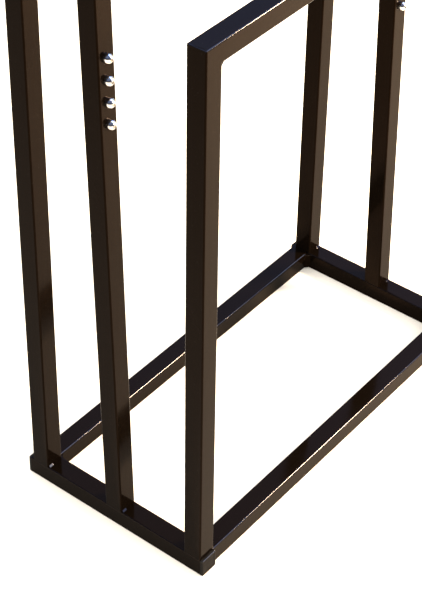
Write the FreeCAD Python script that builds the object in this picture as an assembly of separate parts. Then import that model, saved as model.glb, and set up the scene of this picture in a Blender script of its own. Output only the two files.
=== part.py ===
"""Valet stand welded from square steel tube.

A rectangular base carries three upright frames, each an inverted U, that rise from the front to the back:
a low front frame, a middle frame that leans back a little, and a tall rear frame. Plastic plugs close the
base tubes. Each middle post has a column of screws that bite into a tapped strip inside the tube.

Frame: +Z up, +X to the right, front towards -Y, origin on the floor at the middle of the base.
"""
import math
import os

import FreeCAD
import Part

Vector = FreeCAD.Vector
X_AXIS = Vector(1, 0, 0)
Y_AXIS = Vector(0, 1, 0)
Z_AXIS = Vector(0, 0, 1)

# Driving dimensions, in millimetres and degrees
TUBE = 20.0  # outside width of every tube
WALL = 1.5  # wall thickness of every tube
EDGE_RADIUS = 1.5  # outside radius of a tube's long edges
BORE_RADIUS = 0.5  # inside radius of a tube's long edges
WIDTH = 456.0  # overall width of the base and of each frame
DEPTH = 221.0  # overall depth of the base, end plugs included
FRONT_HEIGHT = 582.0
MIDDLE_HEIGHT = 840.0
REAR_HEIGHT = 1100.0
MIDDLE_SETBACK = 100.0  # from the base's front end to the middle posts' front faces, at their feet
REAR_OVERHANG = 6.0  # from the rear posts' back faces to the base's rear end
MIDDLE_LEAN = 1.5  # degrees that the middle frame leans back
MITRE_ROUNDING = 2.5  # radius ground on the outside corners of each frame
PLUG_LIP = 3.0  # thickness of the plug's cap outside the tube
PLUG_ROUNDING = 1.0
PLUG_STEM = 14.0  # length of the plug inside the tube
PLUG_CORE = 13.0  # width of the plug's core between its ribs
PLUG_RIBS = 3
PLUG_RIB_THICKNESS = 1.4
PLUG_CLEARANCE = 0.05  # between a rib and the tube's inside, on each side
SCREW_COUNT = 4  # in each post
SCREW_PITCH = 21.3
LEFT_SCREW_HEIGHT = 463.0  # lowest screw of the left post
RIGHT_SCREW_HEIGHT = 374.0  # lowest screw of the right post
SHANK_DIAMETER = 5.0
SHANK_LENGTH = 10.0
SCREW_HOLE = 5.4  # clearance hole in the tube's front wall
HEAD_DIAMETER = 9.0
HEAD_HEIGHT = 6.0
HEAD_RIM = 1.9  # height of the straight edge below the dome
HEAD_FLAT = 3.4  # diameter of the flat ring round the socket
SOCKET_WIDTH = 2.5  # across the socket's flats
SOCKET_DEPTH = 2.2
SOCKET_SIDES = 6
STRIP_WIDTH = 14.0
STRIP_THICKNESS = 4.0
STRIP_END = 10.0  # from the end screws' axes to the strip's ends
CORNER_BEAD = 5.0  # leg of the weld in an inside corner
FOOT_BEAD = 1.5  # leg of the tack weld at a post's foot
FOOT_TACK = 5.0  # length of that weld, at the outer end of the foot's edge
BEAD_HOLLOW = 0.42  # how far the middle of a bead's face stands out, as a share of its leg
CUT_MARGIN = 5.0  # how far a cutting tool runs past what it cuts
PARALLEL = 0.99  # an edge is parallel to an axis if its direction's part along it is over this

# Places worked out from the driving dimensions
BORE = TUBE - 2 * WALL
SIDE_X = (WIDTH - TUBE) / 2
INSIDE_X = WIDTH / 2 - TUBE
FRONT_END = -DEPTH / 2
REAR_END = DEPTH / 2
FRONT_BAR_Y = FRONT_END + PLUG_LIP + TUBE / 2
BACK_BAR_Y = REAR_END - PLUG_LIP - TUBE / 2
MIDDLE_Y = FRONT_END + MIDDLE_SETBACK + TUBE / 2
REAR_Y = REAR_END - REAR_OVERHANG - TUBE / 2
FLAT = TUBE - 2 * EDGE_RADIUS


def parallel(edge, axis):
    """True if a straight edge runs along an axis."""
    return abs(edge.tangentAt(edge.FirstParameter).dot(axis)) > PARALLEL


def square_bar(side, radius, length):
    """Bar with rounded long edges that stands on the XY plane, centred on the Z axis."""
    box = Part.makeBox(side, side, length, Vector(-side / 2, -side / 2, 0))
    long_edges = [edge for edge in box.Edges if parallel(edge, Z_AXIS)]
    return box.makeFillet(radius, long_edges)


def square_tube(length):
    """Hollow square tube that stands on the XY plane, centred on the Z axis."""
    bore = square_bar(BORE, BORE_RADIUS, length + 2 * CUT_MARGIN)
    bore.translate(Vector(0, 0, -CUT_MARGIN))
    return square_bar(TUBE, EDGE_RADIUS, length).cut(bore)


def laid_along_x(shape, start):
    """Turn a shape that stands along +Z so that it runs along +X from start."""
    shape.rotate(Vector(0, 0, 0), Y_AXIS, 90)
    shape.translate(start)
    return shape


def laid_along_y(shape, start):
    """Turn a shape that stands along +Z so that it runs along +Y from start."""
    shape.rotate(Vector(0, 0, 0), X_AXIS, -90)
    shape.translate(start)
    return shape


def upright(shape, start):
    """Move a shape that stands along +Z to start."""
    shape.translate(start)
    return shape


def side_bar(side, make=square_tube):
    """Base tube from front to back; side is -1 for the left one and +1 for the right one."""
    length = DEPTH - 2 * PLUG_LIP
    return laid_along_y(make(length), Vector(side * SIDE_X, FRONT_END + PLUG_LIP, TUBE / 2))


def cross_bar(centre_y, make=square_tube):
    """Base tube that butts between the side bars."""
    return laid_along_x(make(2 * INSIDE_X), Vector(-INSIDE_X, centre_y, TUBE / 2))


def solid_bar(length):
    """The outside shape of a tube, used to trim what is welded to it."""
    return square_bar(TUBE, EDGE_RADIUS, length)


def end_plug():
    """Plug that stands on its cap's inner face: the cap below the XY plane and the ribbed stem above it."""
    cap = square_bar(TUBE, EDGE_RADIUS, PLUG_LIP)
    rim = [edge for edge in cap.Edges if edge.BoundBox.ZMax < PLUG_LIP / 2]
    cap = cap.makeFillet(PLUG_ROUNDING, rim)
    cap.translate(Vector(0, 0, -PLUG_LIP))
    stem = Part.makeBox(PLUG_CORE, PLUG_CORE, PLUG_STEM, Vector(-PLUG_CORE / 2, -PLUG_CORE / 2, 0))
    pieces = [stem]
    for number in range(PLUG_RIBS):
        rib = square_bar(BORE - 2 * PLUG_CLEARANCE, BORE_RADIUS, PLUG_RIB_THICKNESS)
        spacing = (PLUG_STEM - PLUG_RIB_THICKNESS) / PLUG_RIBS
        rib.translate(Vector(0, 0, (number + 1) * spacing))
        pieces.append(rib)
    return cap.fuse(pieces).removeSplitter()


def placed_plug(side, end):
    """Plug in one end of a side bar; end is -1 for the front and +1 for the rear."""
    plug = end_plug()
    if end > 0:
        plug.rotate(Vector(0, 0, 0), X_AXIS, 180)
    return laid_along_y(plug, Vector(side * SIDE_X, end * (DEPTH / 2 - PLUG_LIP), TUBE / 2))


def slab(corners):
    """Prism, as deep as a cutting tool, with these (x, z) corners in the frame's own plane."""
    deep = TUBE + 2 * CUT_MARGIN
    points = [Vector(x, -deep / 2, z) for x, z in corners]
    face = Part.Face(Part.makePolygon(points + points[:1]))
    return face.extrude(Vector(0, deep, 0))


def rounded_outline(height):
    """Slab with the frame's outside outline, its two top corners ground round."""
    outline = slab([(-WIDTH / 2, 0), (WIDTH / 2, 0), (WIDTH / 2, height), (-WIDTH / 2, height)])
    across = [edge for edge in outline.Edges if parallel(edge, Y_AXIS)]
    top_corners = [edge for edge in across if edge.BoundBox.ZMin > height / 2]
    return outline.makeFillet(MITRE_ROUNDING, top_corners)


def frame_post(side, height, foot, make=square_tube):
    """Upright tube of a frame in the XZ plane, from foot up to its mitre."""
    tube = upright(make(height - foot), Vector(side * SIDE_X, 0, foot))
    outer = side * WIDTH / 2
    inner = side * INSIDE_X
    wedge = slab([(outer, height), (inner, height - TUBE), (inner, height + TUBE), (outer, height + TUBE)])
    return tube.cut(wedge).common(rounded_outline(height))


def frame_rail(height):
    """Top tube of a frame in the XZ plane, mitred at both ends."""
    rail = laid_along_x(square_tube(WIDTH), Vector(-WIDTH / 2, 0, height - TUBE / 2))
    for side in (-1, 1):
        outer = side * WIDTH / 2
        inner = side * INSIDE_X
        below = height - 2 * TUBE
        rail = rail.cut(slab([(outer, height), (inner, height - TUBE), (inner, below), (outer, below)]))
    return rail.common(rounded_outline(height))


def bead(length, leg):
    """Weld bead along the Z axis in the corner between the XZ and YZ planes, centred on the XY plane."""
    buried = -leg / 2
    middle = BEAD_HOLLOW * leg
    corners = [Vector(0, leg, 0), Vector(buried, leg, 0), Vector(buried, buried, 0)]
    corners += [Vector(leg, buried, 0), Vector(leg, 0, 0)]
    edges = [Part.makeLine(start, stop) for start, stop in zip(corners, corners[1:])]
    edges.append(Part.Arc(corners[-1], Vector(middle, middle, 0), corners[0]).toShape())
    profile = Part.Face(Part.Wire(edges))
    profile.translate(Vector(0, 0, -length / 2))
    return profile.extrude(Vector(0, 0, length))


def base_corner_beads():
    """Upright welds in the four inside corners of the base."""
    around = [side_bar(-1, solid_bar), side_bar(1, solid_bar)]
    around += [cross_bar(FRONT_BAR_Y, solid_bar), cross_bar(BACK_BAR_Y, solid_bar)]
    front_y = FRONT_BAR_Y + TUBE / 2
    back_y = BACK_BAR_Y - TUBE / 2
    corners = [(-INSIDE_X, front_y, 0), (INSIDE_X, front_y, 90)]
    corners += [(INSIDE_X, back_y, 180), (-INSIDE_X, back_y, 270)]
    beads = []
    for x, y, turn in corners:
        one = bead(FLAT, CORNER_BEAD)
        one.rotate(Vector(0, 0, 0), Z_AXIS, turn)
        one.translate(Vector(x, y, TUBE / 2))
        beads.append(one.cut(around))
    return beads


def frame_corner_beads(height):
    """Welds under the two ends of a frame's rail, along its width from front to back."""
    below_rail = height - TUBE
    window = slab([(-INSIDE_X, TUBE), (INSIDE_X, TUBE), (INSIDE_X, below_rail), (-INSIDE_X, below_rail)])
    beads = []
    for side, turn in ((-1, 270), (1, 180)):
        one = bead(FLAT, CORNER_BEAD)
        one.rotate(Vector(0, 0, 0), Z_AXIS, turn)
        one.rotate(Vector(0, 0, 0), X_AXIS, 90)
        one.translate(Vector(side * INSIDE_X, 0, below_rail))
        beads.append(one.common(window))
    return beads


def foot_bead(side, face_y, facing, post):
    """Tack weld between a side bar's top and a post; facing is -1 for the post's front, +1 for its back."""
    one = bead(FOOT_TACK, FOOT_BEAD)
    one.rotate(Vector(0, 0, 0), Z_AXIS, 180 if facing < 0 else 90)
    outer_end = SIDE_X + (FLAT - FOOT_TACK) / 2
    one = laid_along_x(one, Vector(side * outer_end, face_y, TUBE))
    return one.cut([post, side_bar(side, solid_bar)])


def leaning(shape):
    """Move a shape from the XZ plane to the middle frame's place, and tip it back about its front foot."""
    shape.translate(Vector(0, MIDDLE_Y, 0))
    shape.rotate(Vector(0, MIDDLE_Y - TUBE / 2, TUBE), X_AXIS, -MIDDLE_LEAN)
    return shape


def above_base(shape):
    """Keep what is above the side bars' top faces."""
    room = Part.makeBox(WIDTH, DEPTH, REAR_HEIGHT, Vector(-WIDTH / 2, -DEPTH / 2, TUBE))
    return shape.common(room)


def screw_heights(side):
    """Heights of one post's screws, measured along the middle frame."""
    lowest = LEFT_SCREW_HEIGHT if side < 0 else RIGHT_SCREW_HEIGHT
    return [lowest + number * SCREW_PITCH for number in range(SCREW_COUNT)]


def pin(side, height, diameter, start_y, length):
    """Round pin that runs back from start_y at the place of one screw."""
    return Part.makeCylinder(diameter / 2, length, Vector(side * SIDE_X, start_y, height), Y_AXIS)


def middle_post(side):
    """Leaning post with clearance holes for its screws."""
    post = frame_post(side, MIDDLE_HEIGHT, 0)
    start = -TUBE / 2 - CUT_MARGIN
    holes = [pin(side, z, SCREW_HOLE, start, CUT_MARGIN + 2 * WALL) for z in screw_heights(side)]
    return above_base(leaning(post.cut(holes)))


def backing_strip(side):
    """Tapped steel strip behind the front wall of a middle post."""
    heights = screw_heights(side)
    length = heights[-1] - heights[0] + 2 * STRIP_END
    corner = Vector(side * SIDE_X - STRIP_WIDTH / 2, WALL - TUBE / 2, heights[0] - STRIP_END)
    strip = Part.makeBox(STRIP_WIDTH, STRIP_THICKNESS, length, corner)
    start = -TUBE / 2
    holes = [pin(side, z, SHANK_DIAMETER, start, WALL + 2 * STRIP_THICKNESS) for z in heights]
    return leaning(strip.cut(holes))


def screw():
    """High-domed socket screw along the Y axis, its head in front of the XZ plane, its shank behind."""
    rim = HEAD_DIAMETER / 2
    flat = HEAD_FLAT / 2
    dome_height = HEAD_HEIGHT - HEAD_RIM
    below = (rim**2 - flat**2 - dome_height**2) / (2 * dome_height)  # from the ball's centre up to the rim
    ball = math.hypot(rim, below)
    halfway = (math.atan2(below, rim) + math.atan2(below + dome_height, flat)) / 2
    shoulder = Vector(ball * math.cos(halfway), 0, HEAD_RIM - below + ball * math.sin(halfway))
    dome = Part.Arc(Vector(rim, 0, HEAD_RIM), shoulder, Vector(flat, 0, HEAD_HEIGHT)).toShape()
    outline = [Vector(flat, 0, HEAD_HEIGHT), Vector(0, 0, HEAD_HEIGHT), Vector(0, 0, 0)]
    outline += [Vector(rim, 0, 0), Vector(rim, 0, HEAD_RIM)]
    edges = [Part.makeLine(start, stop) for start, stop in zip(outline, outline[1:])]
    head = Part.Face(Part.Wire([dome] + edges)).revolve(Vector(0, 0, 0), Z_AXIS, 360)
    reach = SOCKET_WIDTH / math.sqrt(3)
    bottom = HEAD_HEIGHT - SOCKET_DEPTH
    angles = [math.tau * number / SOCKET_SIDES for number in range(SOCKET_SIDES)]
    hexagon = [Vector(reach * math.cos(angle), reach * math.sin(angle), bottom) for angle in angles]
    socket_floor = Part.Face(Part.makePolygon(hexagon + hexagon[:1]))
    socket = socket_floor.extrude(Vector(0, 0, SOCKET_DEPTH + CUT_MARGIN))
    shank = Part.makeCylinder(SHANK_DIAMETER / 2, SHANK_LENGTH, Vector(0, 0, -SHANK_LENGTH))
    whole = head.cut(socket).fuse(shank).removeSplitter()
    whole.rotate(Vector(0, 0, 0), X_AXIS, 90)
    return whole


def screw_column(side):
    """The screws of one middle post, as separate solids."""
    return [leaning(upright(screw(), Vector(side * SIDE_X, -TUBE / 2, z))) for z in screw_heights(side)]


def foot_beads():
    """Tack welds at the feet of all six posts, where the side bar leaves room for one."""
    middle_face = MIDDLE_Y - TUBE / 2
    back_of_middle = middle_face + TUBE / math.cos(math.radians(MIDDLE_LEAN))
    beads = []
    for side in (-1, 1):
        front = upright(frame_post(side, FRONT_HEIGHT, TUBE, solid_bar), Vector(0, FRONT_BAR_Y, 0))
        middle = leaning(frame_post(side, MIDDLE_HEIGHT, 0, solid_bar))
        rear = upright(frame_post(side, REAR_HEIGHT, TUBE, solid_bar), Vector(0, REAR_Y, 0))
        beads.append(foot_bead(side, FRONT_BAR_Y + TUBE / 2, 1, front))
        beads.append(foot_bead(side, middle_face, -1, middle))
        beads.append(foot_bead(side, back_of_middle, 1, middle))
        beads.append(foot_bead(side, REAR_Y - TUBE / 2, -1, rear))
    return beads


def moved_back(shapes, y):
    """Move the pieces of an upright frame from the XZ plane to their place in depth."""
    return [upright(shape, Vector(0, y, 0)) for shape in shapes]


def build():
    """Every node by name, each as one solid or a list of separate solids."""
    nodes = {
        "front_bar": cross_bar(FRONT_BAR_Y),
        "back_bar": cross_bar(BACK_BAR_Y),
        "middle_rail": leaning(frame_rail(MIDDLE_HEIGHT)),
        "base_corner_welds": base_corner_beads(),
        "middle_frame_welds": [leaning(one) for one in frame_corner_beads(MIDDLE_HEIGHT)],
        "post_foot_welds": foot_beads(),
    }
    for name, height, y in (("front", FRONT_HEIGHT, FRONT_BAR_Y), ("rear", REAR_HEIGHT, REAR_Y)):
        nodes[name + "_rail"] = moved_back([frame_rail(height)], y)[0]
        nodes[name + "_frame_welds"] = moved_back(frame_corner_beads(height), y)
        for side, word in ((-1, "left"), (1, "right")):
            nodes[f"{name}_{word}_post"] = moved_back([frame_post(side, height, TUBE)], y)[0]
    for side, word in ((-1, "left"), (1, "right")):
        nodes[word + "_side_bar"] = side_bar(side)
        nodes[f"front_{word}_end_plug"] = placed_plug(side, -1)
        nodes[f"rear_{word}_end_plug"] = placed_plug(side, 1)
        nodes[f"middle_{word}_post"] = middle_post(side)
        nodes[word + "_screws"] = screw_column(side)
        nodes[word + "_backing_strip"] = backing_strip(side)
    return nodes


def main():
    """Write one STEP file for each node."""
    os.makedirs("parts", exist_ok=True)
    for name, shape in build().items():
        if isinstance(shape, list):
            shape = Part.makeCompound(shape)
        solids = shape.Solids
        assert solids and all(one.isValid() and one.Volume > 0 for one in solids), name
        shape = solids[0] if len(solids) == 1 else Part.makeCompound(solids)
        shape.exportStep(f"parts/{name}.step")
        print(f"{name}: {len(solids)} solid(s), {shape.Volume / 1000:.2f} cm3")


main()
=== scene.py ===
"""Valet stand of enamelled square tube: finished meshes, materials and stage round the packed frame."""
import math

import bmesh
import bpy
from bpy.props import FloatProperty, FloatVectorProperty, IntProperty, PointerProperty
from mathutils import Matrix, Vector


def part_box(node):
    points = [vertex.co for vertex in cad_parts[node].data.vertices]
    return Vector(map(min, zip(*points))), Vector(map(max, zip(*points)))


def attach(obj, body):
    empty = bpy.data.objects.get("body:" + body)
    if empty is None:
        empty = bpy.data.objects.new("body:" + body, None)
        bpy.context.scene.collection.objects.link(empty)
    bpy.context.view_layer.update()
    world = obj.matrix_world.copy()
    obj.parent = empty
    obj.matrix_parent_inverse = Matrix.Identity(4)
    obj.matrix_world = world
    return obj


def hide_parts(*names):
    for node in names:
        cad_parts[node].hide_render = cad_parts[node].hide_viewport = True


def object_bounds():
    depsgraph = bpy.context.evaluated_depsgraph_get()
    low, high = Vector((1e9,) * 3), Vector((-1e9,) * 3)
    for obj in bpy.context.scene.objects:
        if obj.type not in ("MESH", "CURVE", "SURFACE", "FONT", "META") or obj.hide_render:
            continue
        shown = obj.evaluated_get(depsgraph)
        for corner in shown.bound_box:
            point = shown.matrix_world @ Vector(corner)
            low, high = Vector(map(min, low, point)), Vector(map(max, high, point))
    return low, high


bl_info = {
    "name": "Valet Stand",
    "version": (1, 0, 0),
    "blender": (4, 5, 0),
    "location": "3D View > Sidebar > Valet Stand",
    "description": "Builds a valet stand of enamelled square tube with its plugs, screws and welds",
    "category": "Object",
}

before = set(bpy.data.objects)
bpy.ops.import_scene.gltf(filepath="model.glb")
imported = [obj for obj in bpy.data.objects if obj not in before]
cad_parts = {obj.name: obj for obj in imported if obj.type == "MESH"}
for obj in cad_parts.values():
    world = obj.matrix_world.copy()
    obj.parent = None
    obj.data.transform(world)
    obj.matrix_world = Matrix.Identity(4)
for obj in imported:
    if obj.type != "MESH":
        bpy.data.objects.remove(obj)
cad_low, cad_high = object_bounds()

BODY = "root"
MILLIMETRE = 0.001
TUBE = (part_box("front_left_post")[1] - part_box("front_left_post")[0]).x
PLUG_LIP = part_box("left_side_bar")[0].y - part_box("front_left_end_plug")[0].y
SIDES = (("left", -1), ("right", 1))
FRAMES = ("front", "middle", "rear")

# Least cosine between directions that count as parallel, and least lean, in radians, that is not upright
PARALLEL = 0.99
LEAST_LEAN = 0.001
MERGE_DISTANCE = 0.001 * MILLIMETRE
TUBE_SMOOTH_ANGLE = math.radians(35)
BEAD_SMOOTH_ANGLE = math.radians(60)

# Share of a bead's leg beyond which a point lies on its slanting face
BEAD_FACE = 0.9

PLUG_EDGE_STEPS = 6
PLUG_RIM_STEPS = 5
DISH_TAPER = 0.96
RIB_SHARE = 0.1

# The screw's dome, the point of its socket as shares of the socket's width, and the screws' turns in degrees
DOME_SEGMENTS = 64
DOME_RINGS = 48
SOCKET_SIDES = 6
POINT_INSET = 0.12
POINT_DEPTH = 0.1
POINT_TAPER = 0.15
FIRST_TURN = 17
NEXT_TURN = 71

# Where masks run from 0 to 1: the noise of the patches, and how well a bevelled normal agrees with the face's
PATCH_RANGE = (0.35, 0.65)
SHARP_RANGE = (0.999, 0.93)
BEVEL_SAMPLES = 4

ENAMEL_DUST = (0.10, 0.095, 0.09)
ENAMEL_COAT_ROUGHNESS = 0.06
PLUG_DUST = (0.2, 0.19, 0.18)
PLUG_RUBBED = 1.7
PLUG_ROUGHNESS = (0.36, 0.50)
PLUG_INDEX = 1.05
PLUG_COAT_ROUGHNESS = 0.10
NICKEL_DULL = 0.8
NICKEL_WORN = (0.50, 0.47, 0.43)
NICKEL_ROUGHNESS = (0.14, 0.24)
ZINC_BRIGHT = (0.52, 0.53, 0.55)
ZINC_DULL = (0.38, 0.38, 0.37)
ZINC_ROUGHNESS = (0.28, 0.45)
FLOOR_SHADED = 0.985
FLOOR_ROUGHNESS = 0.9
FLOOR_GLOSS = 0.1

FLOOR_SIZE = 60.0
SENSOR_WIDTH = 36.0
LIGHT_AIM = Vector((0.1, -0.2, 0.1))
KEY_PLACE = (0.9, -1.0, 0.9)
KEY_SIZE = (0.3, 0.3)
KEY_COLOUR = (1.0, 0.74, 0.50)
RIM_PLACE = (3.66, -3.50, 3.40)
RIM_SIZE = (2.5, 0.75)
RIM_COLOUR = (1.0, 0.97, 0.92)

# The mirrored studio: heights where its walls end and its ceiling is full, the walls' share of the ceiling's
# brightness, and the unlit side's angle from its middle, its soft edge and its brightness
WALL_TOP = math.radians(15)
CEILING_EDGE = math.radians(50)
WALL_SHARE = 0.12
DARK_SIDE_CORE = math.radians(54)
DARK_SIDE_REACH = math.radians(70)
DARK_SIDE_STRENGTH = 0.30


# Settings that a user would change

class TubeSettings(bpy.types.PropertyGroup):
    """Shape of the square tubes."""

    edge_radius: FloatProperty(
        name="Edge radius", description="Outside radius of a tube's long edges",
        default=1.5 * MILLIMETRE, min=0.0, unit="LENGTH",
    )
    edge_steps: IntProperty(
        name="Edge steps", description="Faces round each long edge", default=6, min=1,
    )
    corner_radius: FloatProperty(
        name="Corner radius", description="Radius ground on a frame's two outside corners",
        default=2.5 * MILLIMETRE, min=0.0, unit="LENGTH",
    )
    corner_steps: IntProperty(
        name="Corner steps", description="Cuts that grind each outside corner", default=8, min=1,
    )


class WeldSettings(bpy.types.PropertyGroup):
    """Shape of the weld beads."""

    corner_leg: FloatProperty(
        name="Corner leg", description="Leg of the weld in an inside corner",
        default=5.0 * MILLIMETRE, min=0.0, unit="LENGTH",
    )
    tack_leg: FloatProperty(
        name="Tack leg", description="Leg of the tack weld at a post's foot",
        default=1.5 * MILLIMETRE, min=0.0, unit="LENGTH",
    )
    tack_length: FloatProperty(
        name="Tack length", description="Length of the tack weld at a post's foot",
        default=5.0 * MILLIMETRE, min=0.0, unit="LENGTH",
    )
    ripples: IntProperty(name="Ripples", description="Ripples along each bead", default=9, min=1)
    ripple_depth: FloatProperty(
        name="Ripple depth", description="Depth of a ripple's hollow, as a share of the bead's leg",
        default=0.05, min=0.0, max=0.3, subtype="FACTOR",
    )


class PlugSettings(bpy.types.PropertyGroup):
    """Shape and colour of the end plugs."""

    rim_radius: FloatProperty(
        name="Rim radius", description="Radius round the plug's face",
        default=1.0 * MILLIMETRE, min=0.0, unit="LENGTH",
    )
    core_width: FloatProperty(
        name="Core width", description="Width of the stem between its ribs",
        default=13.0 * MILLIMETRE, min=0.0, unit="LENGTH",
    )
    rib_width: FloatProperty(
        name="Rib width", description="Width of the ribs that grip the tube",
        default=16.8 * MILLIMETRE, min=0.0, unit="LENGTH",
    )
    ribs: IntProperty(name="Ribs", description="Ribs on the stem", default=3, min=1)
    dish_width: FloatProperty(
        name="Dish width", description="Width of the shallow dish in the face, as a share of the flat",
        default=0.82, min=0.1, max=1.0, subtype="FACTOR",
    )
    dish_depth: FloatProperty(
        name="Dish depth", description="Depth of the shallow dish in the face",
        default=0.25 * MILLIMETRE, min=0.0, unit="LENGTH",
    )
    colour: FloatVectorProperty(
        name="Colour", description="Colour of the plastic", subtype="COLOR",
        default=(0.007, 0.0065, 0.006), min=0.0, max=1.0,
    )


class ScrewSettings(bpy.types.PropertyGroup):
    """Shape and colour of the high-domed socket screws."""

    count: IntProperty(name="Count", description="Screws in each post", default=4, min=2)
    head_radius: FloatProperty(
        name="Head radius", description="Radius of the head's rim",
        default=4.5 * MILLIMETRE, min=0.0, unit="LENGTH",
    )
    head_height: FloatProperty(
        name="Head height", description="Height of the head above the tube",
        default=6.0 * MILLIMETRE, min=0.0, unit="LENGTH",
    )
    rim_height: FloatProperty(
        name="Rim height", description="Height of the straight edge below the dome",
        default=1.9 * MILLIMETRE, min=0.0, unit="LENGTH",
    )
    flat_radius: FloatProperty(
        name="Flat radius", description="Radius of the flat ring round the socket",
        default=1.7 * MILLIMETRE, min=0.0, unit="LENGTH",
    )
    socket_width: FloatProperty(
        name="Socket width", description="Width across the socket's flats",
        default=2.5 * MILLIMETRE, min=0.0, unit="LENGTH",
    )
    socket_depth: FloatProperty(
        name="Socket depth", description="Depth of the socket",
        default=2.2 * MILLIMETRE, min=0.0, unit="LENGTH",
    )
    shank_radius: FloatProperty(
        name="Shank radius", description="Radius of the shank",
        default=2.5 * MILLIMETRE, min=0.0, unit="LENGTH",
    )
    shank_length: FloatProperty(
        name="Shank length", description="Length of the shank behind the tube's face",
        default=10.0 * MILLIMETRE, min=0.0, unit="LENGTH",
    )
    colour: FloatVectorProperty(
        name="Colour", description="Colour of the nickel plating", subtype="COLOR",
        default=(0.72, 0.70, 0.67), min=0.0, max=1.0,
    )


class EnamelSettings(bpy.types.PropertyGroup):
    """Look of the black-brown enamel."""

    deep_colour: FloatVectorProperty(
        name="Deep colour", description="Colour where the enamel is thick", subtype="COLOR",
        default=(0.0024, 0.0015, 0.0009), min=0.0, max=1.0,
    )
    thin_colour: FloatVectorProperty(
        name="Thin colour", description="Colour where the enamel is thin, as along an edge",
        subtype="COLOR", default=(0.0030, 0.0018, 0.0010), min=0.0, max=1.0,
    )
    gloss_colour: FloatVectorProperty(
        name="Gloss colour", description="Tint of what the enamel mirrors", subtype="COLOR",
        default=(1.0, 0.42, 0.12), min=0.0, max=1.0,
    )
    smooth_roughness: FloatProperty(
        name="Smooth roughness", description="Roughness of the glossiest patches",
        default=0.05, min=0.0, max=1.0, subtype="FACTOR",
    )
    smudged_roughness: FloatProperty(
        name="Smudged roughness", description="Roughness of the dullest patches",
        default=0.11, min=0.0, max=1.0, subtype="FACTOR",
    )
    index: FloatProperty(
        name="Refractive index", description="Refractive index of the enamel",
        default=1.085, min=1.0, max=3.0,
    )
    bead_gloss: FloatProperty(
        name="Bead gloss", description="Gloss where the enamel gathers along the upper edges",
        default=0.55, min=0.0, max=1.0, subtype="FACTOR",
    )


class StageSettings(bpy.types.PropertyGroup):
    """Floor, lights and camera."""

    floor_colour: FloatVectorProperty(
        name="Floor colour", description="Colour of the floor", subtype="COLOR",
        default=(0.95, 0.88, 0.77), min=0.0, max=1.0,
    )
    sky_colour: FloatVectorProperty(
        name="Sky colour", description="Colour of the light from all round", subtype="COLOR",
        default=(1.0, 1.0, 1.0), min=0.0, max=1.0,
    )
    sky_strength: FloatProperty(
        name="Sky strength", description="Strength of the light from all round", default=2.2, min=0.0,
    )
    mirrored_colour: FloatVectorProperty(
        name="Mirrored colour", description="Colour of the studio that glossy surfaces mirror",
        subtype="COLOR", default=(0.35, 0.51, 1.0), min=0.0, max=1.0,
    )
    mirrored_strength: FloatProperty(
        name="Mirrored strength", description="Strength of the studio that glossy surfaces mirror",
        default=7.0, min=0.0,
    )
    dark_side: FloatVectorProperty(
        name="Dark side", description="Direction of the unlit part of the studio", subtype="XYZ",
        default=(-0.65, -0.32, 0.69),
    )
    key_power: FloatProperty(
        name="Key power", description="Power of the warm soft light at the front right",
        default=100.0, min=0.0, unit="POWER",
    )
    rim_power: FloatProperty(
        name="Rim power", description="Power of the long soft box that only gloss mirrors",
        default=40.0, min=0.0, unit="POWER",
    )
    camera_place: FloatVectorProperty(
        name="Camera place", description="Where the camera stands", subtype="TRANSLATION", unit="LENGTH",
        default=(-1.1610, -0.8422, 1.3394),
    )
    camera_azimuth: FloatProperty(
        name="Camera azimuth", description="Turn of the view from straight back towards the right",
        default=math.radians(51.41), subtype="ANGLE", unit="ROTATION",
    )
    camera_pitch: FloatProperty(
        name="Camera pitch", description="How far the camera looks down",
        default=math.radians(37.43), subtype="ANGLE", unit="ROTATION",
    )
    camera_roll: FloatProperty(
        name="Camera roll", description="Tilt of the picture", default=math.radians(0.49),
        subtype="ANGLE", unit="ROTATION",
    )
    shift: FloatVectorProperty(
        name="Shift", description="Lens shift across and up, as shares of the picture's height", size=2,
        default=(0.0267, -0.1467),
    )
    focal_length: FloatProperty(
        name="Focal length", description="Focal length in millimetres", default=112.1, min=1.0,
    )


SETTINGS = {
    "valet_tube": TubeSettings,
    "valet_weld": WeldSettings,
    "valet_plug": PlugSettings,
    "valet_screw": ScrewSettings,
    "valet_enamel": EnamelSettings,
    "valet_stage": StageSettings,
}


# Modelling helpers

def only(piece):
    """Select this object and nothing else, and make it the active one."""
    bpy.ops.object.select_all(action="DESELECT")
    piece.select_set(True)
    bpy.context.view_layer.objects.active = piece


def named(name):
    """Give the newly added object a name and put its size and place into its mesh."""
    piece = bpy.context.object
    piece.name = name
    piece.data.name = name
    only(piece)
    bpy.ops.object.transform_apply(location=True, rotation=True, scale=True)
    return piece


def edit(piece, select_mode):
    """Go into edit mode on this piece alone, with nothing selected."""
    only(piece)
    bpy.ops.object.mode_set(mode="EDIT")
    bpy.ops.mesh.select_mode(type=select_mode)
    bpy.ops.mesh.select_all(action="DESELECT")


def pick(piece, kind, wanted):
    """In edit mode, select the edges or the faces that the test wants."""
    mesh = bmesh.from_edit_mesh(piece.data)
    for element in getattr(mesh, kind):
        element.select_set(bool(wanted(element)))
    bmesh.update_edit_mesh(piece.data)


def runs_along(edge, axis):
    """True if an edge is parallel to an axis."""
    start, stop = (vertex.co for vertex in edge.verts)
    return abs((stop - start).normalized().dot(axis)) > PARALLEL


def extrude(rise):
    """In edit mode, extrude what is selected along Z."""
    bpy.ops.mesh.extrude_region_move(TRANSFORM_OT_translate={"value": (0.0, 0.0, rise)})


def object_mode():
    """Leave edit mode."""
    bpy.ops.object.mode_set(mode="OBJECT")


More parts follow.
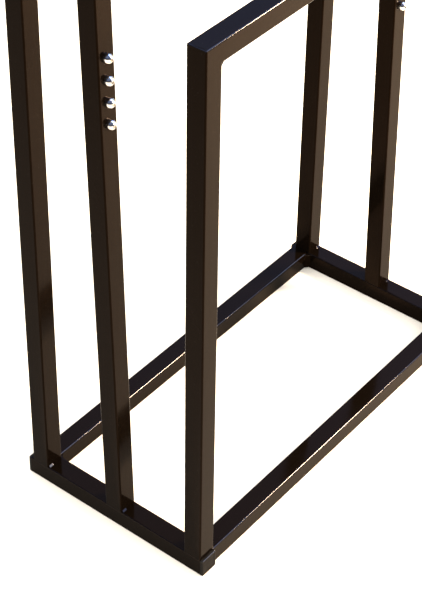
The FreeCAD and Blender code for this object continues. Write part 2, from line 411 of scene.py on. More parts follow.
def box_piece(name, low, high):
    """Box between two corners, a start for a tube, plug or bead."""
    bpy.ops.object.select_all(action="DESELECT")
    low, high = Vector(low), Vector(high)
    bpy.ops.mesh.primitive_cube_add(size=1.0, location=(low + high) / 2, scale=high - low)
    return named(name)


def trim(piece, point, normal, clear_outer=True):
    """Cut a piece with a plane, close the cut, and keep the side that the normal points away from."""
    edit(piece, "FACE")
    bpy.ops.mesh.select_all(action="SELECT")
    bpy.ops.mesh.bisect(
        plane_co=point, plane_no=normal, use_fill=True, clear_outer=clear_outer, clear_inner=not clear_outer,
    )
    object_mode()


def move_into_place(piece, matrix):
    """Put a piece in its place, with the place in its mesh."""
    only(piece)
    piece.matrix_world = matrix
    bpy.ops.object.transform_apply(location=True, rotation=True, scale=True)


def tidy_mesh(piece):
    """Merge doubles and point every face outwards."""
    edit(piece, "FACE")
    bpy.ops.mesh.select_all(action="SELECT")
    bpy.ops.mesh.remove_doubles(threshold=MERGE_DISTANCE)
    bpy.ops.mesh.normals_make_consistent(inside=False)
    object_mode()


def shade(piece, angle=TUBE_SMOOTH_ANGLE):
    """Smooth the rounded edges and keep the flat faces flat."""
    only(piece)
    bpy.ops.object.shade_smooth_by_angle(angle=angle)
    modifier = piece.modifiers.new("Weighted normals", "WEIGHTED_NORMAL")
    modifier.keep_sharp = True
    bpy.ops.object.modifier_apply(modifier=modifier.name)


def joined(name, pieces):
    """Join copies into one object, each still a separate closed mesh."""
    bpy.ops.object.select_all(action="DESELECT")
    for piece in pieces:
        piece.select_set(True)
    bpy.context.view_layer.objects.active = pieces[0]
    if len(pieces) > 1:
        bpy.ops.object.join()
    pieces[0].name = name
    pieces[0].data.name = name
    return pieces[0]


def copied(piece, matrix):
    """Copy of a piece with its own mesh, put in its place."""
    only(piece)
    bpy.ops.object.duplicate(linked=False)
    copy = bpy.context.object
    move_into_place(copy, matrix)
    return copy


def finish_piece(piece, node, material):
    """Hand a finished piece over to the frame in place of its CAD node."""
    piece.data.materials.clear()
    piece.data.materials.append(material)
    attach(piece, BODY)
    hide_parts(node)


# Node groups and materials

def new_group(name, inputs, outputs):
    """Empty shader group with float inputs and the given outputs, and its input and output nodes."""
    group = bpy.data.node_groups.new(name, "ShaderNodeTree")
    for label, value in inputs:
        socket = group.interface.new_socket(name=label, in_out="INPUT", socket_type="NodeSocketFloat")
        socket.default_value = value
    for label, kind in outputs:
        group.interface.new_socket(name=label, in_out="OUTPUT", socket_type=kind)
    return group, group.nodes.new("NodeGroupInput"), group.nodes.new("NodeGroupOutput")


def feed(tree, socket, value):
    """Link a socket to another one, or set it to a number or colour."""
    if isinstance(value, bpy.types.NodeSocket):
        tree.links.new(value, socket)
    else:
        socket.default_value = value


def noise(tree, coordinates, scale, detail, roughness=0.5):
    """Noise texture whose scale is a socket."""
    node = tree.nodes.new("ShaderNodeTexNoise")
    node.inputs["Detail"].default_value = detail
    node.inputs["Roughness"].default_value = roughness
    tree.links.new(scale, node.inputs["Scale"])
    tree.links.new(coordinates, node.inputs["Vector"])
    return node.outputs["Fac"]


def calculated(tree, operation, *values):
    """Result of an arithmetic operation on one or two sockets."""
    node = tree.nodes.new("ShaderNodeMath")
    node.operation = operation
    for number, value in enumerate(values):
        tree.links.new(value, node.inputs[number])
    return node.outputs[0]


def dot_product(tree, first, second):
    """Dot product of a socket with a vector or another socket."""
    node = tree.nodes.new("ShaderNodeVectorMath")
    node.operation = "DOT_PRODUCT"
    tree.links.new(first, node.inputs[0])
    feed(tree, node.inputs[1], second)
    return node.outputs["Value"]


def mapped(tree, value, from_range=(0.0, 1.0), to_range=(0.0, 1.0), smooth=False):
    """Value mapped from one range to another; the limits are numbers or sockets."""
    node = tree.nodes.new("ShaderNodeMapRange")
    if smooth:
        node.interpolation_type = "SMOOTHSTEP"
    limits = zip(("From Min", "From Max", "To Min", "To Max"), (*from_range, *to_range))
    for name, limit in limits:
        feed(tree, node.inputs[name], limit)
    tree.links.new(value, node.inputs["Value"])
    return node.outputs["Result"]


def grain_group():
    """Bumps of two sizes: an orange peel on paint, a moulded grain on plastic, fine scratches on metal."""
    inputs = [("Fine Scale", 600.0), ("Broad Scale", 40.0), ("Fine Height", 0.02), ("Broad Height", 0.1)]
    group, given, result = new_group("surface_grain", inputs, [("Normal", "NodeSocketVector")])
    links = group.links
    place = group.nodes.new("ShaderNodeTexCoord").outputs["Object"]
    fine = noise(group, place, given.outputs["Fine Scale"], 2.0)
    broad = noise(group, place, given.outputs["Broad Scale"], 1.0)
    normal = None
    for height, amount in ((broad, "Broad Height"), (fine, "Fine Height")):
        bump = group.nodes.new("ShaderNodeBump")
        bump.inputs["Strength"].default_value = 1.0
        bump.inputs["Distance"].default_value = MILLIMETRE
        links.new(calculated(group, "MULTIPLY", height, given.outputs[amount]), bump.inputs["Height"])
        if normal is not None:
            links.new(normal, bump.inputs["Normal"])
        normal = bump.outputs["Normal"]
    links.new(normal, result.inputs["Normal"])


def smudge_group():
    """Soft uneven patches, and a scatter of tiny specks."""
    inputs = [("Patch Scale", 25.0), ("Speck Scale", 900.0), ("Speck Level", 0.72)]
    outputs = [("Patches", "NodeSocketFloat"), ("Specks", "NodeSocketFloat")]
    group, given, result = new_group("smudges_and_specks", inputs, outputs)
    links = group.links
    place = group.nodes.new("ShaderNodeTexCoord").outputs["Object"]
    patches = noise(group, place, given.outputs["Patch Scale"], 4.0, 0.6)
    links.new(mapped(group, patches, PATCH_RANGE, smooth=True), result.inputs["Patches"])
    specks = noise(group, place, given.outputs["Speck Scale"], 1.0)
    links.new(mapped(group, specks, (given.outputs["Speck Level"], 1.0)), result.inputs["Specks"])


def edge_group():
    """Mask that is 1 close to a sharp edge and 0 away from it, broken up by noise."""
    inputs = [("Width", 0.8 * MILLIMETRE), ("Break Up Scale", 180.0)]
    group, given, result = new_group("edge_mask", inputs, [("Edges", "NodeSocketFloat")])
    links = group.links
    place = group.nodes.new("ShaderNodeTexCoord").outputs["Object"]
    bevel = group.nodes.new("ShaderNodeBevel")
    bevel.samples = BEVEL_SAMPLES
    links.new(given.outputs["Width"], bevel.inputs["Radius"])
    surface = group.nodes.new("ShaderNodeNewGeometry").outputs["Normal"]
    sharp = mapped(group, dot_product(group, bevel.outputs["Normal"], surface), SHARP_RANGE)
    broken_up = noise(group, place, given.outputs["Break Up Scale"], 3.0)
    links.new(calculated(group, "MULTIPLY", sharp, broken_up), result.inputs["Edges"])


def rounding_group():
    """Mask that is 1 on the rounded edges of square tube and 0 on its flats, and its upward-facing part."""
    inputs = [("Flat", 0.995), ("Round", 0.85), ("Level", 0.10), ("Raised", 0.35)]
    outputs = [("Rounded", "NodeSocketFloat"), ("Upper", "NodeSocketFloat")]
    group, given, result = new_group("rounded_edges", inputs, outputs)
    links = group.links
    normal = group.nodes.new("ShaderNodeSeparateXYZ")
    links.new(group.nodes.new("ShaderNodeNewGeometry").outputs["Normal"], normal.inputs[0])
    sizes = [calculated(group, "ABSOLUTE", part) for part in normal.outputs]
    largest = calculated(group, "MAXIMUM", calculated(group, "MAXIMUM", sizes[0], sizes[1]), sizes[2])
    rounded = mapped(group, largest, (given.outputs["Flat"], given.outputs["Round"]))
    upward = mapped(group, normal.outputs["Z"], (given.outputs["Level"], given.outputs["Raised"]))
    links.new(rounded, result.inputs["Rounded"])
    links.new(calculated(group, "MULTIPLY", rounded, upward), result.inputs["Upper"])


def group_node(material, group, **values):
    """Place a node group in a material with its own values; a name's underscores stand for spaces."""
    node = material.node_tree.nodes.new("ShaderNodeGroup")
    node.node_tree = bpy.data.node_groups[group]
    for name, value in values.items():
        node.inputs[name.replace("_", " ")].default_value = value
    return node


def mixed_colour(material, mask, low, high):
    """Colour that runs from low to high with a mask; low is a colour or a socket, high a colour."""
    tree = material.node_tree
    node = tree.nodes.new("ShaderNodeMix")
    node.data_type = "RGBA"
    tree.links.new(mask, node.inputs["Factor"])
    start, stop = (socket for socket in node.inputs if socket.type == "RGBA")
    feed(tree, start, low if isinstance(low, bpy.types.NodeSocket) else (*low, 1.0))
    feed(tree, stop, (*high, 1.0))
    return next(socket for socket in node.outputs if socket.type == "RGBA")


def new_material(name):
    """Material with a Principled shader, and that shader."""
    material = bpy.data.materials.new(name)
    material.use_nodes = True
    return material, material.node_tree.nodes["Principled BSDF"]


def enamel_material(settings):
    """Glossy black-brown enamel with faint orange peel, smudges and dust, and glossier upper edges."""
    material, shader = new_material("black_brown_enamel")
    links = material.node_tree.links
    grain = group_node(
        material, "surface_grain", Fine_Scale=450.0, Broad_Scale=32.0, Fine_Height=0.0035, Broad_Height=0.10,
    )
    smudges = group_node(
        material, "smudges_and_specks", Patch_Scale=18.0, Speck_Scale=1400.0, Speck_Level=0.74,
    )
    rounding = group_node(material, "rounded_edges", Flat=0.995, Round=0.85, Level=0.10, Raised=0.35)
    coat = mixed_colour(material, rounding.outputs["Rounded"], settings.deep_colour, settings.thin_colour)
    dusted = mixed_colour(material, smudges.outputs["Specks"], coat, ENAMEL_DUST)
    links.new(dusted, shader.inputs["Base Color"])
    limits = (settings.smooth_roughness, settings.smudged_roughness)
    roughness = mapped(material.node_tree, smudges.outputs["Patches"], to_range=limits)
    links.new(roughness, shader.inputs["Roughness"])
    links.new(grain.outputs["Normal"], shader.inputs["Normal"])
    shader.inputs["IOR"].default_value = settings.index
    shader.inputs["Specular Tint"].default_value = (*settings.gloss_colour, 1.0)
    beads = mapped(material.node_tree, rounding.outputs["Upper"], to_range=(0.0, settings.bead_gloss))
    links.new(beads, shader.inputs["Coat Weight"])
    shader.inputs["Coat Roughness"].default_value = ENAMEL_COAT_ROUGHNESS


def plug_material(settings):
    """Moulded plastic, matt and finely grained, a little lighter where it is rubbed."""
    material, shader = new_material("moulded_plug_plastic")
    links = material.node_tree.links
    grain = group_node(
        material, "surface_grain", Fine_Scale=2200.0, Broad_Scale=160.0, Fine_Height=0.02, Broad_Height=0.03,
    )
    smudges = group_node(
        material, "smudges_and_specks", Patch_Scale=120.0, Speck_Scale=2600.0, Speck_Level=0.70,
    )
    rubbed = tuple(min(1.0, part * PLUG_RUBBED) for part in settings.colour)
    body = mixed_colour(material, smudges.outputs["Patches"], settings.colour, rubbed)
    dusted = mixed_colour(material, smudges.outputs["Specks"], body, PLUG_DUST)
    links.new(dusted, shader.inputs["Base Color"])
    roughness = mapped(material.node_tree, smudges.outputs["Patches"], to_range=PLUG_ROUGHNESS)
    links.new(roughness, shader.inputs["Roughness"])
    links.new(grain.outputs["Normal"], shader.inputs["Normal"])
    shader.inputs["IOR"].default_value = PLUG_INDEX
    rounding = group_node(material, "rounded_edges", Flat=0.98, Round=0.80, Level=0.10, Raised=0.35)
    links.new(rounding.outputs["Upper"], shader.inputs["Coat Weight"])
    shader.inputs["Coat Roughness"].default_value = PLUG_COAT_ROUGHNESS


def nickel_material(settings):
    """Bright nickel plating, with faint tool marks and darker worn edges."""
    material, shader = new_material("nickel_plated_screw")
    links = material.node_tree.links
    grain = group_node(
        material, "surface_grain", Fine_Scale=3000.0, Broad_Scale=400.0, Fine_Height=0.004, Broad_Height=0.02,
    )
    smudges = group_node(material, "smudges_and_specks", Patch_Scale=300.0)
    edges = group_node(material, "edge_mask", Width=0.3 * MILLIMETRE, Break_Up_Scale=900.0)
    dull = tuple(part * NICKEL_DULL for part in settings.colour)
    plated = mixed_colour(material, smudges.outputs["Patches"], settings.colour, dull)
    worn = mixed_colour(material, edges.outputs["Edges"], plated, NICKEL_WORN)
    links.new(worn, shader.inputs["Base Color"])
    roughness = mapped(material.node_tree, smudges.outputs["Patches"], to_range=NICKEL_ROUGHNESS)
    links.new(roughness, shader.inputs["Roughness"])
    links.new(grain.outputs["Normal"], shader.inputs["Normal"])
    shader.inputs["Metallic"].default_value = 1.0


def strip_material():
    """Zinc-plated steel of the strips inside the posts."""
    material, shader = new_material("zinc_plated_strip")
    links = material.node_tree.links
    grain = group_node(
        material, "surface_grain", Fine_Scale=1500.0, Broad_Scale=90.0, Fine_Height=0.02, Broad_Height=0.08,
    )
    smudges = group_node(material, "smudges_and_specks", Patch_Scale=90.0)
    zinc = mixed_colour(material, smudges.outputs["Patches"], ZINC_BRIGHT, ZINC_DULL)
    links.new(zinc, shader.inputs["Base Color"])
    roughness = mapped(material.node_tree, smudges.outputs["Patches"], to_range=ZINC_ROUGHNESS)
    links.new(roughness, shader.inputs["Roughness"])
    links.new(grain.outputs["Normal"], shader.inputs["Normal"])
    shader.inputs["Metallic"].default_value = 1.0


def floor_material(settings):
    """Plain pale floor with a barely seen unevenness."""
    material, shader = new_material("pale_floor")
    links = material.node_tree.links
    smudges = group_node(material, "smudges_and_specks", Patch_Scale=2.0)
    shaded = tuple(part * FLOOR_SHADED for part in settings.floor_colour)
    links.new(
        mixed_colour(material, smudges.outputs["Patches"], settings.floor_colour, shaded),
        shader.inputs["Base Color"],
    )
    shader.inputs["Roughness"].default_value = FLOOR_ROUGHNESS
    shader.inputs["Specular IOR Level"].default_value = FLOOR_GLOSS


def material_named(name):
    """A material that an earlier operator made."""
    return bpy.data.materials[name]


# Tubes

def tube_piece(name, low, high, axis):
    """Square tube that fills a box, its long edges rounded along an axis and its ends closed."""
    settings = bpy.context.scene.valet_tube
    piece = box_piece(name, low, high)
    edit(piece, "EDGE")
    pick(piece, "edges", lambda edge: runs_along(edge, axis))
    bpy.ops.mesh.bevel(
        offset=settings.edge_radius, segments=settings.edge_steps, affect="EDGES", offset_type="OFFSET",
    )
    object_mode()
    return piece


def frame_place(name):
    """Matrix from a frame's own upright plane to its place, its lean, and its height along the posts."""
    post_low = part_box(name + "_left_post")[0]
    rail_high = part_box(name + "_rail")[1]
    rise = rail_high.z - post_low.z
    lean = math.atan2(rail_high.y - post_low.y - TUBE, rise)
    place = Matrix.Translation((0.0, post_low.y, post_low.z)) @ Matrix.Rotation(-lean, 4, "X")
    return place, lean, rise / math.cos(lean)


def grind_corner(piece, side, half_width, top):
    """Round a frame's outside top corner with a fan of small cuts."""
    settings = bpy.context.scene.valet_tube
    radius = settings.corner_radius
    centre = Vector((side * (half_width - radius), 0.0, top - radius))
    for step in range(settings.corner_steps):
        angle = (step + 0.5) / settings.corner_steps * math.pi / 2
        outwards = Vector((side * math.sin(angle), 0.0, math.cos(angle)))
        trim(piece, centre + radius * outwards, outwards)


def frame_tubes(name):
    """The two posts and the rail of one frame, mitred where they meet."""
    place, lean, top = frame_place(name)
    half_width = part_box(name + "_right_post")[1].x
    sunk = -TUBE if lean > LEAST_LEAN else 0.0
    tubes = {}
    for word, side in SIDES:
        inner = side * (half_width - TUBE)
        outer = side * half_width
        low = (min(inner, outer), 0.0, sunk)
        high = (max(inner, outer), TUBE, top)
        post = tube_piece(f"{name}_{word}_post_tube", low, high, Vector((0, 0, 1)))
        trim(post, (outer, 0.0, top), (-side, 0.0, 1.0))
        grind_corner(post, side, half_width, top)
        tubes[f"{name}_{word}_post"] = post
    low = (-half_width, 0.0, top - TUBE)
    high = (half_width, TUBE, top)
    rail = tube_piece(name + "_rail_tube", low, high, Vector((1, 0, 0)))
    for _, side in SIDES:
        trim(rail, (side * half_width, 0.0, top), (-side, 0.0, 1.0), clear_outer=False)
        grind_corner(rail, side, half_width, top)
    tubes[name + "_rail"] = rail
    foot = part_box("left_side_bar")[1].z
    for node, piece in tubes.items():
        move_into_place(piece, place)
        if sunk and node != name + "_rail":
            trim(piece, (0.0, 0.0, foot), (0.0, 0.0, 1.0), clear_outer=False)
        tidy_mesh(piece)
        shade(piece)
    return tubes


# Weld beads

def bead_piece(name, length, leg):
    """Rippled fillet along Z in the corner between the XZ and YZ planes, centred on the XY plane."""
    settings = bpy.context.scene.valet_weld
    half = length / 2
    piece = box_piece(name, (0.0, 0.0, -half), (leg, leg, half))
    diagonal = Vector((1.0, 1.0, 0.0)).normalized()
    crest = diagonal * (leg / math.sqrt(2))
    trim(piece, crest, diagonal)
    loops = 2 * settings.ripples
    edit(piece, "EDGE")
    for number in range(1, loops):
        bpy.ops.mesh.select_all(action="SELECT")
        height = -half + length * number / loops
        bpy.ops.mesh.bisect(plane_co=(0.0, 0.0, height), plane_no=(0.0, 0.0, 1.0))
    spacing = length / loops
    pick(
        piece, "edges",
        lambda edge: all(is_hollow(vertex.co, half, spacing, leg) for vertex in edge.verts),
    )
    bpy.ops.transform.translate(value=-diagonal * settings.ripple_depth * leg)
    object_mode()
    tidy_mesh(piece)
    return piece


def is_hollow(point, half, spacing, leg):
    """True if a point on a bead's slanting face lies in a hollow between two ripples, or at an end."""
    on_face = point.x + point.y > BEAD_FACE * leg
    return on_face and round((point.z + half) / spacing) % 2 == 0


def turned(degrees, axis):
    """Rotation matrix from an angle in degrees."""
    return Matrix.Rotation(math.radians(degrees), 4, axis)


def flat_width():
    """Width of a tube's flat face."""
    return TUBE - 2 * bpy.context.scene.valet_tube.edge_radius


def beads_in_places(name, length, leg, places):
    """One bead for each matrix, joined into one object."""
    pattern = bead_piece(name + "_pattern", length, leg)
    beads = [copied(pattern, place) for place in places]
    bpy.data.objects.remove(pattern)
    group = joined(name, beads)
    shade(group, BEAD_SMOOTH_ANGLE)
    return group


def base_corner_places():
    """Upright beads in the base's four inside corners."""
    inside_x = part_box("front_bar")[1].x
    front_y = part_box("front_bar")[1].y
    back_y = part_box("back_bar")[0].y
    corners = (
        (-inside_x, front_y, 0), (inside_x, front_y, 90), (inside_x, back_y, 180), (-inside_x, back_y, 270),
    )
    return [Matrix.Translation((x, y, TUBE / 2)) @ turned(turn, "Z") for x, y, turn in corners]


def frame_corner_places(name):
    """Beads under the two ends of a frame's rail, along its width from front to back."""
    place, _, top = frame_place(name)
    inside_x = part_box(name + "_right_post")[0].x
    places = []
    for side, turn in ((-1, 270), (1, 180)):
        corner = Matrix.Translation((side * inside_x, TUBE / 2, top - TUBE))
        places.append(place @ corner @ turned(90, "X") @ turned(turn, "Z"))
    return places


def foot_places():
    """Tacks at the outer ends of the posts' feet, where the side bar leaves room for one."""
    spare = (flat_width() - bpy.context.scene.valet_weld.tack_length) / 2
    places = []
    for word, side in SIDES:
        low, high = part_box(f"front_{word}_post")
        x = (low.x + high.x) / 2 + side * spare
        middle_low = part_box(f"middle_{word}_post")[0]
        lean = frame_place("middle")[1]
        rear_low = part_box(f"rear_{word}_post")[0]
        middle_back = middle_low.y + TUBE / math.cos(lean)
        faces = ((high.y, 1), (middle_low.y, -1), (middle_back, 1), (rear_low.y, -1))
        for y, facing in faces:
            along = turned(90, "Y") @ turned(180 if facing < 0 else 90, "Z")
            places.append(Matrix.Translation((x, y, low.z)) @ along)
    return places


# Plugs

def stepped(rise, scale):
    """In edit mode, extrude the picked flat face by a rise, then make a square step to a new width."""
    if rise:
        extrude(rise)
    if scale != 1.0:
        extrude(0.0)
        bpy.ops.transform.resize(value=(scale, scale, 1.0))


def plug_pattern():
    """Plug with its cap below the XY plane and its ribbed stem above it."""
    settings = bpy.context.scene.valet_plug
    edge_radius = bpy.context.scene.valet_tube.edge_radius
    half = TUBE / 2
    piece = box_piece("plug_pattern", (-half, -half, -PLUG_LIP), (half, half, 0.0))
    edit(piece, "EDGE")
    pick(piece, "edges", lambda edge: runs_along(edge, Vector((0, 0, 1))))
    bpy.ops.mesh.bevel(offset=edge_radius, segments=PLUG_EDGE_STEPS, affect="EDGES")
    pick(piece, "edges", lambda edge: all(vertex.co.z < -PLUG_LIP / 2 for vertex in edge.verts))
    bpy.ops.mesh.bevel(offset=settings.rim_radius, segments=PLUG_RIM_STEPS, affect="EDGES")
    bpy.ops.mesh.select_mode(type="FACE")
    pick(piece, "faces", lambda face: face.normal.z < -PARALLEL)
    stepped(0.0, settings.dish_width)
    stepped(settings.dish_depth, DISH_TAPER)
    pick(piece, "faces", lambda face: face.normal.z > PARALLEL)
    stepped(0.0, settings.core_width / TUBE)
    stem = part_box("front_left_end_plug")[1].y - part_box("left_side_bar")[0].y
    rib = RIB_SHARE * stem
    gap = (stem - settings.ribs * rib) / (settings.ribs + 1)
    grow = settings.rib_width / settings.core_width
    for _ in range(settings.ribs):
        stepped(gap, grow)
        stepped(rib, 1 / grow)
    stepped(gap, 1.0)
    object_mode()
    tidy_mesh(piece)
    shade(piece)
    return piece


# Screws

def screw_pattern():
    """High-domed socket screw along Z, its head above the XY plane and its shank below."""
    settings = bpy.context.scene.valet_screw
    dome = settings.head_height - settings.rim_height
    rise = settings.head_radius**2 - settings.flat_radius**2 - dome**2
    below = rise / (2 * dome)
    ball = math.hypot(settings.head_radius, below)
    bpy.ops.object.select_all(action="DESELECT")
    bpy.ops.mesh.primitive_uv_sphere_add(
        segments=DOME_SEGMENTS, ring_count=DOME_RINGS, radius=ball,
        location=(0.0, 0.0, settings.rim_height - below),
    )
    head = named("screw_pattern")
    trim(head, (0.0, 0.0, settings.rim_height), (0.0, 0.0, 1.0), clear_outer=False)
    trim(head, (0.0, 0.0, settings.head_height), (0.0, 0.0, 1.0))
    edit(head, "FACE")
    pick(head, "faces", lambda face: face.normal.z < -PARALLEL)
    extrude(-settings.rim_height)
    bpy.ops.mesh.inset(thickness=settings.head_radius - settings.shank_radius)
    extrude(-settings.shank_length)
    object_mode()
    cutter = socket_cutter(settings)
    only(head)
    modifier = head.modifiers.new("Socket", "BOOLEAN")
    modifier.operation = "DIFFERENCE"
    modifier.solver = "EXACT"
    modifier.object = cutter
    bpy.ops.object.modifier_apply(modifier=modifier.name)
    bpy.data.objects.remove(cutter)
    tidy_mesh(head)
    return head


def socket_cutter(settings):
    """Six-sided plug with a shallow point, the shape of the drill and broach."""
    reach = settings.socket_width / math.sqrt(3)
    clear = settings.head_height
    bottom = settings.head_height - settings.socket_depth
    bpy.ops.object.select_all(action="DESELECT")
    bpy.ops.mesh.primitive_cylinder_add(
        vertices=SOCKET_SIDES, radius=reach, depth=settings.socket_depth + clear,
        location=(0.0, 0.0, bottom + (settings.socket_depth + clear) / 2),
    )
    cutter = named("socket_cutter")
    edit(cutter, "FACE")
    pick(cutter, "faces", lambda face: face.normal.z < -PARALLEL)
    bpy.ops.mesh.inset(thickness=POINT_INSET * settings.socket_width)
    extrude(-POINT_DEPTH * settings.socket_width)
    bpy.ops.transform.resize(value=(POINT_TAPER, POINT_TAPER, 1.0))
    object_mode()
    return cutter


def screw_places(word):
    """Matrices of one post's screws, from the heights of the CAD node."""
    settings = bpy.context.scene.valet_screw
    place, lean, _ = frame_place("middle")
    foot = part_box("middle_left_post")[0].z
    low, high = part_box(word + "_screws")
    first = (low.z - foot) / math.cos(lean) + settings.head_radius
    last = (high.z - foot) / math.cos(lean) - settings.head_radius
    x = (low.x + high.x) / 2
    places = []
    for number in range(settings.count):
        height = first + (last - first) * number / (settings.count - 1)
        spun = turned(FIRST_TURN + NEXT_TURN * number, "Z")
        places.append(place @ Matrix.Translation((x, 0.0, height)) @ turned(90, "X") @ spun)
    return places


# Stage

def add_floor():
    """Wide pale floor at the object's underside."""
    bpy.ops.object.select_all(action="DESELECT")
    bpy.ops.mesh.primitive_plane_add(size=FLOOR_SIZE, location=(0.0, 0.0, cad_low.z))
    floor = named("pale_floor")
    floor.data.materials.append(material_named("pale_floor"))


def add_sky(settings):
    """Even pale light from all round; glossy surfaces mirror a cool ceiling, dim walls and an unlit side."""
    world = bpy.data.worlds.new("pale_sky")
    world.use_nodes = True
    tree = world.node_tree
    even = tree.nodes["Background"]
    even.inputs["Color"].default_value = (*settings.sky_colour, 1.0)
    even.inputs["Strength"].default_value = settings.sky_strength
    direction = tree.nodes.new("ShaderNodeTexCoord").outputs["Generated"]
    toward = dot_product(tree, direction, Vector(settings.dark_side).normalized())
    edge = (math.cos(DARK_SIDE_REACH), math.cos(DARK_SIDE_CORE))
    lit = mapped(tree, toward, edge, (settings.mirrored_strength, DARK_SIDE_STRENGTH), smooth=True)
    height = tree.nodes.new("ShaderNodeSeparateXYZ")
    tree.links.new(direction, height.inputs[0])
    rise = (math.sin(WALL_TOP), math.sin(CEILING_EDGE))
    ceiling = mapped(tree, height.outputs["Z"], rise, (WALL_SHARE, 1.0), smooth=True)
    mirrored = tree.nodes.new("ShaderNodeBackground")
    mirrored.inputs["Color"].default_value = (*settings.mirrored_colour, 1.0)
    tree.links.new(calculated(tree, "MULTIPLY", lit, ceiling), mirrored.inputs["Strength"])
    mix = tree.nodes.new("ShaderNodeMixShader")
    tree.links.new(tree.nodes.new("ShaderNodeLightPath").outputs["Is Glossy Ray"], mix.inputs[0])
    tree.links.new(even.outputs[0], mix.inputs[1])
    tree.links.new(mirrored.outputs[0], mix.inputs[2])
    tree.links.new(mix.outputs[0], tree.nodes["World Output"].inputs["Surface"])
    bpy.context.scene.world = world


def add_box_light(name, place, size, power, colour):
    """Soft box that points at the base and isn't itself seen."""
    bpy.ops.object.light_add(type="AREA", location=place)
    light = bpy.context.object
    light.name = name
    light.data.shape = "RECTANGLE"
    light.data.size, light.data.size_y = size
    light.data.energy = power
    light.data.color = colour
    light.visible_camera = False
    light.rotation_euler = (LIGHT_AIM - Vector(place)).to_track_quat("-Z", "Y").to_euler()
    return light


def add_lights(settings):
    """Warm soft box at the front right, and a long one beyond it that only gloss mirrors."""
    add_box_light("key_light", KEY_PLACE, KEY_SIZE, settings.key_power, KEY_COLOUR)
    rim = add_box_light("rim_light", RIM_PLACE, RIM_SIZE, settings.rim_power, RIM_COLOUR)
    rim.visible_diffuse = False


def add_camera(settings):
    """Camera at the front left, looking down on the base."""
    azimuth, pitch, roll = settings.camera_azimuth, settings.camera_pitch, settings.camera_roll
    ahead = Vector((
        math.sin(azimuth) * math.cos(pitch), math.cos(azimuth) * math.cos(pitch), -math.sin(pitch),
    ))
    level = Vector((math.cos(azimuth), -math.sin(azimuth), 0.0))
    upright = level.cross(ahead)
    right = level * math.cos(roll) + upright * math.sin(roll)
    above = upright * math.cos(roll) - level * math.sin(roll)
    turn = Matrix((right, above, -ahead)).transposed().to_4x4()
    bpy.ops.object.camera_add()
    camera = bpy.context.object
    camera.name = "camera"
    camera.matrix_world = Matrix.Translation(settings.camera_place) @ turn
    camera.data.lens = settings.focal_length
    camera.data.sensor_width = SENSOR_WIDTH
    camera.data.shift_x, camera.data.shift_y = settings.shift
    bpy.context.scene.camera = camera


# Operators

class VALET_OT_materials(bpy.types.Operator):
    """Make the shared node groups and every material"""

    bl_idname = "valet.materials"
    bl_label = "Materials"

    def execute(self, context):
        grain_group()
        smudge_group()
        edge_group()
        rounding_group()
        enamel_material(context.scene.valet_enamel)
        plug_material(context.scene.valet_plug)
        nickel_material(context.scene.valet_screw)
        strip_material()
        floor_material(context.scene.valet_stage)
        return {"FINISHED"}


class VALET_OT_base_tubes(bpy.types.Operator):
    """Make the four tubes of the base"""

    bl_idname = "valet.base_tubes"
    bl_label = "Base Tubes"

    def execute(self, context):
        enamel = material_named("black_brown_enamel")
        bars = (
            ("left_side_bar", (0, 1, 0)), ("right_side_bar", (0, 1, 0)),
            ("front_bar", (1, 0, 0)), ("back_bar", (1, 0, 0)),
        )
        for node, axis in bars:
            low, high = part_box(node)
            piece = tube_piece(node + "_tube", low, high, Vector(axis))
            shade(piece)
            finish_piece(piece, node, enamel)
        return {"FINISHED"}


class VALET_OT_frames(bpy.types.Operator):
    """Make the posts and rails of the three frames"""

    bl_idname = "valet.frames"
    bl_label = "Frames"

    def execute(self, context):
        enamel = material_named("black_brown_enamel")
        for name in FRAMES:
            for node, piece in frame_tubes(name).items():
                finish_piece(piece, node, enamel)
        return {"FINISHED"}


class VALET_OT_welds(bpy.types.Operator):
    """Make the weld beads in the inside corners and at the posts' feet"""

    bl_idname = "valet.welds"
    bl_label = "Welds"

    def execute(self, context):
        settings = context.scene.valet_weld
        enamel = material_named("black_brown_enamel")
        corner = (flat_width(), settings.corner_leg)
        groups = {"base_corner_welds": (*corner, base_corner_places())}
        for name in FRAMES:
            groups[name + "_frame_welds"] = (*corner, frame_corner_places(name))
        groups["post_foot_welds"] = (settings.tack_length, settings.tack_leg, foot_places())
        for node, (length, leg, places) in groups.items():
            piece = beads_in_places(node.replace("_welds", "_weld_beads"), length, leg, places)
            finish_piece(piece, node, enamel)
        return {"FINISHED"}


class VALET_OT_end_plugs(bpy.types.Operator):
    """Make the four plastic plugs in the ends of the side bars"""

    bl_idname = "valet.end_plugs"
    bl_label = "End Plugs"

    def execute(self, context):
        plastic = material_named("moulded_plug_plastic")
        pattern = plug_pattern()
        for word, _ in SIDES:
            low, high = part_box(word + "_side_bar")
            centre = (low + high) / 2
            for end, y, turn in (("front", low.y, -90), ("rear", high.y, 90)):
                place = Matrix.Translation((centre.x, y, centre.z)) @ turned(turn, "X")
                piece = copied(pattern, place)
                piece.name = f"{end}_{word}_plug"
                finish_piece(piece, f"{end}_{word}_end_plug", plastic)
        bpy.data.objects.remove(pattern)
        return {"FINISHED"}


class VALET_OT_screws(bpy.types.Operator):
    """Make the columns of socket screws in the middle posts"""

    bl_idname = "valet.screws"
    bl_label = "Screws"

    def execute(self, context):
        nickel = material_named("nickel_plated_screw")
        pattern = screw_pattern()
        for word, _ in SIDES:
            copies = [copied(pattern, place) for place in screw_places(word)]
            piece = joined(word + "_screw_column", copies)
            shade(piece)
            finish_piece(piece, word + "_screws", nickel)
        bpy.data.objects.remove(pattern)
        return {"FINISHED"}


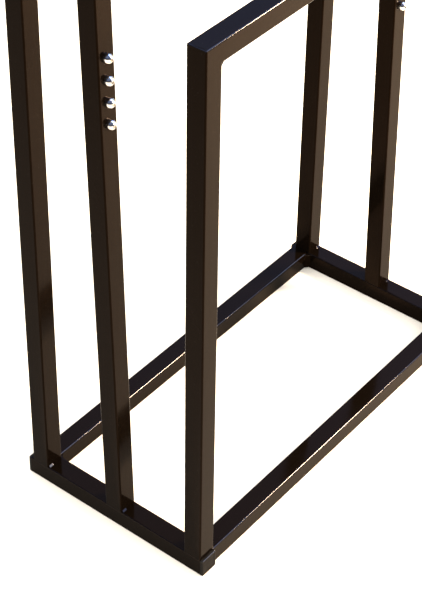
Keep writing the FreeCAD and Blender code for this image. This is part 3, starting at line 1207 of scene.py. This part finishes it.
class VALET_OT_strips(bpy.types.Operator):
    """Give the strips inside the middle posts their zinc plating"""

    bl_idname = "valet.strips"
    bl_label = "Backing Strips"

    def execute(self, context):
        zinc = material_named("zinc_plated_strip")
        for word, _ in SIDES:
            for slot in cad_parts[word + "_backing_strip"].material_slots:
                slot.material = zinc
        return {"FINISHED"}


class VALET_OT_stage(bpy.types.Operator):
    """Make the floor, the lights and the camera"""

    bl_idname = "valet.stage"
    bl_label = "Stage"

    def execute(self, context):
        settings = context.scene.valet_stage
        add_floor()
        add_sky(settings)
        add_lights(settings)
        add_camera(settings)
        context.scene.view_settings.view_transform = "Standard"
        return {"FINISHED"}


class VALET_PT_panel(bpy.types.Panel):
    """Sidebar panel with the settings and the steps"""

    bl_idname = "VALET_PT_panel"
    bl_label = "Valet Stand"
    bl_space_type = "VIEW_3D"
    bl_region_type = "UI"
    bl_category = "Valet Stand"

    def draw(self, context):
        for name, settings in SETTINGS.items():
            box = self.layout.box()
            box.label(text=settings.__doc__)
            for field in settings.__annotations__:
                box.prop(getattr(context.scene, name), field)
        for operator in OPERATORS:
            self.layout.operator(operator.bl_idname)


OPERATORS = (
    VALET_OT_materials, VALET_OT_base_tubes, VALET_OT_frames, VALET_OT_welds, VALET_OT_end_plugs,
    VALET_OT_screws, VALET_OT_strips, VALET_OT_stage,
)


def register():
    """Register the settings, the operators and the panel."""
    for name, settings in SETTINGS.items():
        bpy.utils.register_class(settings)
        setattr(bpy.types.Scene, name, PointerProperty(type=settings))
    for operator in OPERATORS:
        bpy.utils.register_class(operator)
    bpy.utils.register_class(VALET_PT_panel)


def unregister():
    """Undo what register did, in the other order."""
    bpy.utils.unregister_class(VALET_PT_panel)
    for operator in reversed(OPERATORS):
        bpy.utils.unregister_class(operator)
    for name, settings in reversed(SETTINGS.items()):
        delattr(bpy.types.Scene, name)
        bpy.utils.unregister_class(settings)


def main():
    """Build everything."""
    register()
    bpy.ops.valet.materials()
    bpy.ops.valet.base_tubes()
    bpy.ops.valet.frames()
    bpy.ops.valet.welds()
    bpy.ops.valet.end_plugs()
    bpy.ops.valet.screws()
    bpy.ops.valet.strips()
    bpy.ops.valet.stage()


if __name__ == "__main__":
    main()
